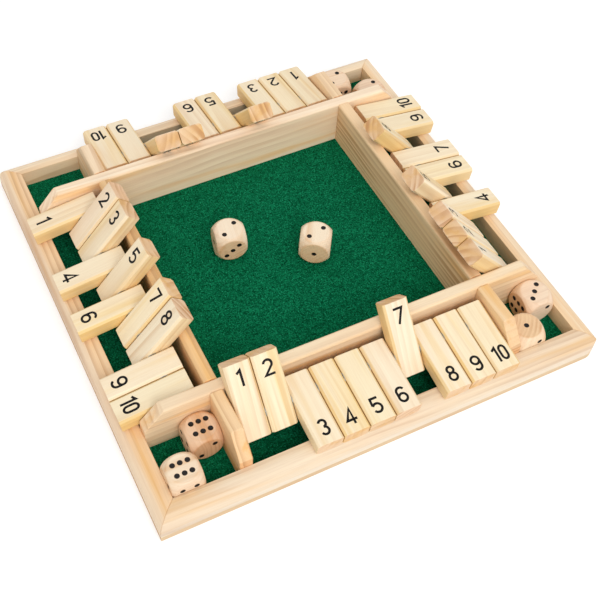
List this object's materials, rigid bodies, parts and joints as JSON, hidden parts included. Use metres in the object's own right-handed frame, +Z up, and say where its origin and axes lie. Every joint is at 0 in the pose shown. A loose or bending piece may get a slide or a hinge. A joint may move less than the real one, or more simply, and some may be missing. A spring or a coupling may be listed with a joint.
{
  "type": "shut the box game",
  "caption": "Square wooden four-sided shut the box board with a felt-lined tray, hinged number tiles on steel rods along every side, corner dice pockets and wooden dice.",
  "frame": {"origin": "centre of the flat underside of the board, on the table", "axes": "+Z up; -Y towards the player of the front row, +X to that player's right"},
  "size_m": [0.28, 0.28, 0.0535],
  "materials": {
    "rail_wood": "satin lacquer",
    "base_wood": "bare",
    "tile_wood": "satin lacquer",
    "dice_wood": "satin lacquer",
    "felt": "napped felt",
    "rod_steel": "drawn"
  },
  "bodies": {
    "board": {"base_board": "base_wood", "felt_lining": "felt", "outer_rail_front": "rail_wood", "outer_rail_right": "rail_wood", "outer_rail_back": "rail_wood", "outer_rail_left": "rail_wood", "inner_rail_front": "rail_wood", "inner_rail_right": "rail_wood", "inner_rail_back": "rail_wood", "inner_rail_left": "rail_wood", "end_blocks": "rail_wood", "pivot_rods": "rod_steel"},
    "tile_front_1": {"tile_front_1": "tile_wood"},
    "tile_front_2": {"tile_front_2": "tile_wood"},
    "tile_front_3": {"tile_front_3": "tile_wood"},
    "tile_front_4": {"tile_front_4": "tile_wood"},
    "tile_front_5": {"tile_front_5": "tile_wood"},
    "tile_front_6": {"tile_front_6": "tile_wood"},
    "tile_front_7": {"tile_front_7": "tile_wood"},
    "tile_front_8": {"tile_front_8": "tile_wood"},
    "tile_front_9": {"tile_front_9": "tile_wood"},
    "tile_front_10": {"tile_front_10": "tile_wood"},
    "tile_right_1": {"tile_right_1": "tile_wood"},
    "tile_right_2": {"tile_right_2": "tile_wood"},
    "tile_right_3": {"tile_right_3": "tile_wood"},
    "tile_right_4": {"tile_right_4": "tile_wood"},
    "tile_right_5": {"tile_right_5": "tile_wood"},
    "tile_right_6": {"tile_right_6": "tile_wood"},
    "tile_right_7": {"tile_right_7": "tile_wood"},
    "tile_right_8": {"tile_right_8": "tile_wood"},
    "tile_right_9": {"tile_right_9": "tile_wood"},
    "tile_right_10": {"tile_right_10": "tile_wood"},
    "tile_back_1": {"tile_back_1": "tile_wood"},
    "tile_back_2": {"tile_back_2": "tile_wood"},
    "tile_back_3": {"tile_back_3": "tile_wood"},
    "tile_back_4": {"tile_back_4": "tile_wood"},
    "tile_back_5": {"tile_back_5": "tile_wood"},
    "tile_back_6": {"tile_back_6": "tile_wood"},
    "tile_back_7": {"tile_back_7": "tile_wood"},
    "tile_back_8": {"tile_back_8": "tile_wood"},
    "tile_back_9": {"tile_back_9": "tile_wood"},
    "tile_back_10": {"tile_back_10": "tile_wood"},
    "tile_left_1": {"tile_left_1": "tile_wood"},
    "tile_left_2": {"tile_left_2": "tile_wood"},
    "tile_left_3": {"tile_left_3": "tile_wood"},
    "tile_left_4": {"tile_left_4": "tile_wood"},
    "tile_left_5": {"tile_left_5": "tile_wood"},
    "tile_left_6": {"tile_left_6": "tile_wood"},
    "tile_left_7": {"tile_left_7": "tile_wood"},
    "tile_left_8": {"tile_left_8": "tile_wood"},
    "tile_left_9": {"tile_left_9": "tile_wood"},
    "tile_left_10": {"tile_left_10": "tile_wood"},
    "die_tray_left": {"die_tray_left": "dice_wood"},
    "die_tray_right": {"die_tray_right": "dice_wood"},
    "die_front_left_far": {"die_front_left_far": "dice_wood"},
    "die_front_left_near": {"die_front_left_near": "dice_wood"},
    "die_front_right_far": {"die_front_right_far": "dice_wood"},
    "die_front_right_near": {"die_front_right_near": "dice_wood"},
    "die_back_right_far": {"die_back_right_far": "dice_wood"},
    "die_back_right_near": {"die_back_right_near": "dice_wood"}
  },
  "joints": [
    {"name": "flip_front_1", "type": "hinge", "parent": "board", "child": "tile_front_1", "pos_m": [-0.07254, -0.1051, 0.0256], "axis": [-1, 0, 0], "range_deg": [-139.12, 0]},
    {"name": "flip_right_1", "type": "hinge", "parent": "board", "child": "tile_right_1", "pos_m": [0.1051, -0.07254, 0.0256], "axis": [0, -1, 0], "range_deg": [-139.12, 0]},
    {"name": "flip_back_1", "type": "hinge", "parent": "board", "child": "tile_back_1", "pos_m": [0.07254, 0.1051, 0.0256], "axis": [1, 0, 0], "range_deg": [0, 139.12]},
    {"name": "flip_left_1", "type": "hinge", "parent": "board", "child": "tile_left_1", "pos_m": [-0.1051, 0.07254, 0.0256], "axis": [0, 1, 0], "range_deg": [0, 139.12]},
    {"name": "flip_front_10", "type": "hinge", "parent": "board", "child": "tile_front_10", "pos_m": [0.07254, -0.1051, 0.0256], "axis": [-1, 0, 0], "range_deg": [0, 139.12]},
    {"name": "flip_right_10", "type": "hinge", "parent": "board", "child": "tile_right_10", "pos_m": [0.1051, 0.07254, 0.0256], "axis": [0, -1, 0], "range_deg": [0, 139.12]},
    {"name": "flip_back_10", "type": "hinge", "parent": "board", "child": "tile_back_10", "pos_m": [-0.07254, 0.1051, 0.0256], "axis": [1, 0, 0], "range_deg": [0, 139.12]},
    {"name": "flip_left_10", "type": "hinge", "parent": "board", "child": "tile_left_10", "pos_m": [-0.1051, -0.07254, 0.0256], "axis": [0, 1, 0], "range_deg": [0, 139.12]},
    {"name": "flip_front_5", "type": "hinge", "parent": "board", "child": "tile_front_5", "pos_m": [-0.00806, -0.1051, 0.0256], "axis": [-1, 0, 0], "range_deg": [0, 139.12]},
    {"name": "flip_right_5", "type": "hinge", "parent": "board", "child": "tile_right_5", "pos_m": [0.1051, -0.00806, 0.0256], "axis": [0, -1, 0], "range_deg": [-139.12, 0]},
    {"name": "flip_back_5", "type": "hinge", "parent": "board", "child": "tile_back_5", "pos_m": [0.00806, 0.1051, 0.0256], "axis": [1, 0, 0], "range_deg": [0, 139.12]},
    {"name": "flip_left_5", "type": "hinge", "parent": "board", "child": "tile_left_5", "pos_m": [-0.1051, 0.00806, 0.0256], "axis": [0, 1, 0], "range_deg": [-139.12, 0]},
    {"name": "flip_front_6", "type": "hinge", "parent": "board", "child": "tile_front_6", "pos_m": [0.00806, -0.1051, 0.0256], "axis": [-1, 0, 0], "range_deg": [0, 139.12]},
    {"name": "flip_right_6", "type": "hinge", "parent": "board", "child": "tile_right_6", "pos_m": [0.1051, 0.00806, 0.0256], "axis": [0, -1, 0], "range_deg": [0, 139.12]},
    {"name": "flip_back_6", "type": "hinge", "parent": "board", "child": "tile_back_6", "pos_m": [-0.00806, 0.1051, 0.0256], "axis": [1, 0, 0], "range_deg": [0, 139.12]},
    {"name": "flip_left_6", "type": "hinge", "parent": "board", "child": "tile_left_6", "pos_m": [-0.1051, -0.00806, 0.0256], "axis": [0, 1, 0], "range_deg": [0, 139.12]},
    {"name": "flip_front_7", "type": "hinge", "parent": "board", "child": "tile_front_7", "pos_m": [0.02418, -0.1051, 0.0256], "axis": [-1, 0, 0], "range_deg": [-139.12, 0]},
    {"name": "flip_right_7", "type": "hinge", "parent": "board", "child": "tile_right_7", "pos_m": [0.1051, 0.02418, 0.0256], "axis": [0, -1, 0], "range_deg": [0, 139.12]},
    {"name": "flip_back_7", "type": "hinge", "parent": "board", "child": "tile_back_7", "pos_m": [-0.02418, 0.1051, 0.0256], "axis": [1, 0, 0], "range_deg": [-139.12, 0]},
    {"name": "flip_left_7", "type": "hinge", "parent": "board", "child": "tile_left_7", "pos_m": [-0.1051, -0.02418, 0.0256], "axis": [0, 1, 0], "range_deg": [-139.12, 0]},
    {"name": "lift_die_tray_left", "type": "slide", "parent": "board", "child": "die_tray_left", "axis": [0, 0, 1], "range_m": [0, 0.06]},
    {"name": "lift_die_tray_right", "type": "slide", "parent": "board", "child": "die_tray_right", "axis": [0, 0, 1], "range_m": [0, 0.06]},
    {"name": "lift_die_front_left_far", "type": "slide", "parent": "board", "child": "die_front_left_far", "axis": [0, 0, 1], "range_m": [0, 0.06]},
    {"name": "lift_die_front_right_near", "type": "slide", "parent": "board", "child": "die_front_right_near", "axis": [0, 0, 1], "range_m": [0, 0.06]},
    {"name": "lift_die_back_right_far", "type": "slide", "parent": "board", "child": "die_back_right_far", "axis": [0, 0, 1], "range_m": [0, 0.06]},
    {"name": "flip_front_4", "type": "hinge", "parent": "board", "child": "tile_front_4", "pos_m": [-0.02418, -0.1051, 0.0256], "axis": [-1, 0, 0], "range_deg": [0, 139.12]},
    {"name": "flip_right_4", "type": "hinge", "parent": "board", "child": "tile_right_4", "pos_m": [0.1051, -0.02418, 0.0256], "axis": [0, -1, 0], "range_deg": [0, 139.12]},
    {"name": "flip_back_4", "type": "hinge", "parent": "board", "child": "tile_back_4", "pos_m": [0.02418, 0.1051, 0.0256], "axis": [1, 0, 0], "range_deg": [-139.12, 0]},
    {"name": "flip_left_4", "type": "hinge", "parent": "board", "child": "tile_left_4", "pos_m": [-0.1051, 0.02418, 0.0256], "axis": [0, 1, 0], "range_deg": [0, 139.12]},
    {"name": "flip_front_2", "type": "hinge", "parent": "board", "child": "tile_front_2", "pos_m": [-0.05642, -0.1051, 0.0256], "axis": [-1, 0, 0], "range_deg": [-139.12, 0]},
    {"name": "flip_right_2", "type": "hinge", "parent": "board", "child": "tile_right_2", "pos_m": [0.1051, -0.05642, 0.0256], "axis": [0, -1, 0], "range_deg": [-139.12, 0]},
    {"name": "flip_back_2", "type": "hinge", "parent": "board", "child": "tile_back_2", "pos_m": [0.05642, 0.1051, 0.0256], "axis": [1, 0, 0], "range_deg": [0, 139.12]},
    {"name": "flip_left_2", "type": "hinge", "parent": "board", "child": "tile_left_2", "pos_m": [-0.1051, 0.05642, 0.0256], "axis": [0, 1, 0], "range_deg": [-139.12, 0]},
    {"name": "flip_front_3", "type": "hinge", "parent": "board", "child": "tile_front_3", "pos_m": [-0.0403, -0.1051, 0.0256], "axis": [-1, 0, 0], "range_deg": [0, 139.12]},
    {"name": "flip_right_3", "type": "hinge", "parent": "board", "child": "tile_right_3", "pos_m": [0.1051, -0.0403, 0.0256], "axis": [0, -1, 0], "range_deg": [-139.12, 0]},
    {"name": "flip_back_3", "type": "hinge", "parent": "board", "child": "tile_back_3", "pos_m": [0.0403, 0.1051, 0.0256], "axis": [1, 0, 0], "range_deg": [0, 139.12]},
    {"name": "flip_left_3", "type": "hinge", "parent": "board", "child": "tile_left_3", "pos_m": [-0.1051, 0.0403, 0.0256], "axis": [0, 1, 0], "range_deg": [-139.12, 0]},
    {"name": "flip_front_8", "type": "hinge", "parent": "board", "child": "tile_front_8", "pos_m": [0.0403, -0.1051, 0.0256], "axis": [-1, 0, 0], "range_deg": [0, 139.12]},
    {"name": "flip_right_8", "type": "hinge", "parent": "board", "child": "tile_right_8", "pos_m": [0.1051, 0.0403, 0.0256], "axis": [0, -1, 0], "range_deg": [-139.12, 0]},
    {"name": "flip_back_8", "type": "hinge", "parent": "board", "child": "tile_back_8", "pos_m": [-0.0403, 0.1051, 0.0256], "axis": [1, 0, 0], "range_deg": [-139.12, 0]},
    {"name": "flip_left_8", "type": "hinge", "parent": "board", "child": "tile_left_8", "pos_m": [-0.1051, -0.0403, 0.0256], "axis": [0, 1, 0], "range_deg": [-139.12, 0]},
    {"name": "flip_front_9", "type": "hinge", "parent": "board", "child": "tile_front_9", "pos_m": [0.05642, -0.1051, 0.0256], "axis": [-1, 0, 0], "range_deg": [0, 139.12]},
    {"name": "flip_right_9", "type": "hinge", "parent": "board", "child": "tile_right_9", "pos_m": [0.1051, 0.05642, 0.0256], "axis": [0, -1, 0], "range_deg": [0, 139.12]},
    {"name": "flip_back_9", "type": "hinge", "parent": "board", "child": "tile_back_9", "pos_m": [-0.05642, 0.1051, 0.0256], "axis": [1, 0, 0], "range_deg": [0, 139.12]},
    {"name": "flip_left_9", "type": "hinge", "parent": "board", "child": "tile_left_9", "pos_m": [-0.1051, -0.05642, 0.0256], "axis": [0, 1, 0], "range_deg": [0, 139.12]},
    {"name": "lift_die_front_left_near", "type": "slide", "parent": "board", "child": "die_front_left_near", "axis": [0, 0, 1], "range_m": [0, 0.06]},
    {"name": "lift_die_front_right_far", "type": "slide", "parent": "board", "child": "die_front_right_far", "axis": [0, 0, 1], "range_m": [0, 0.06]},
    {"name": "lift_die_back_right_near", "type": "slide", "parent": "board", "child": "die_back_right_near", "axis": [0, 0, 1], "range_m": [0, 0.06]}
  ]
}
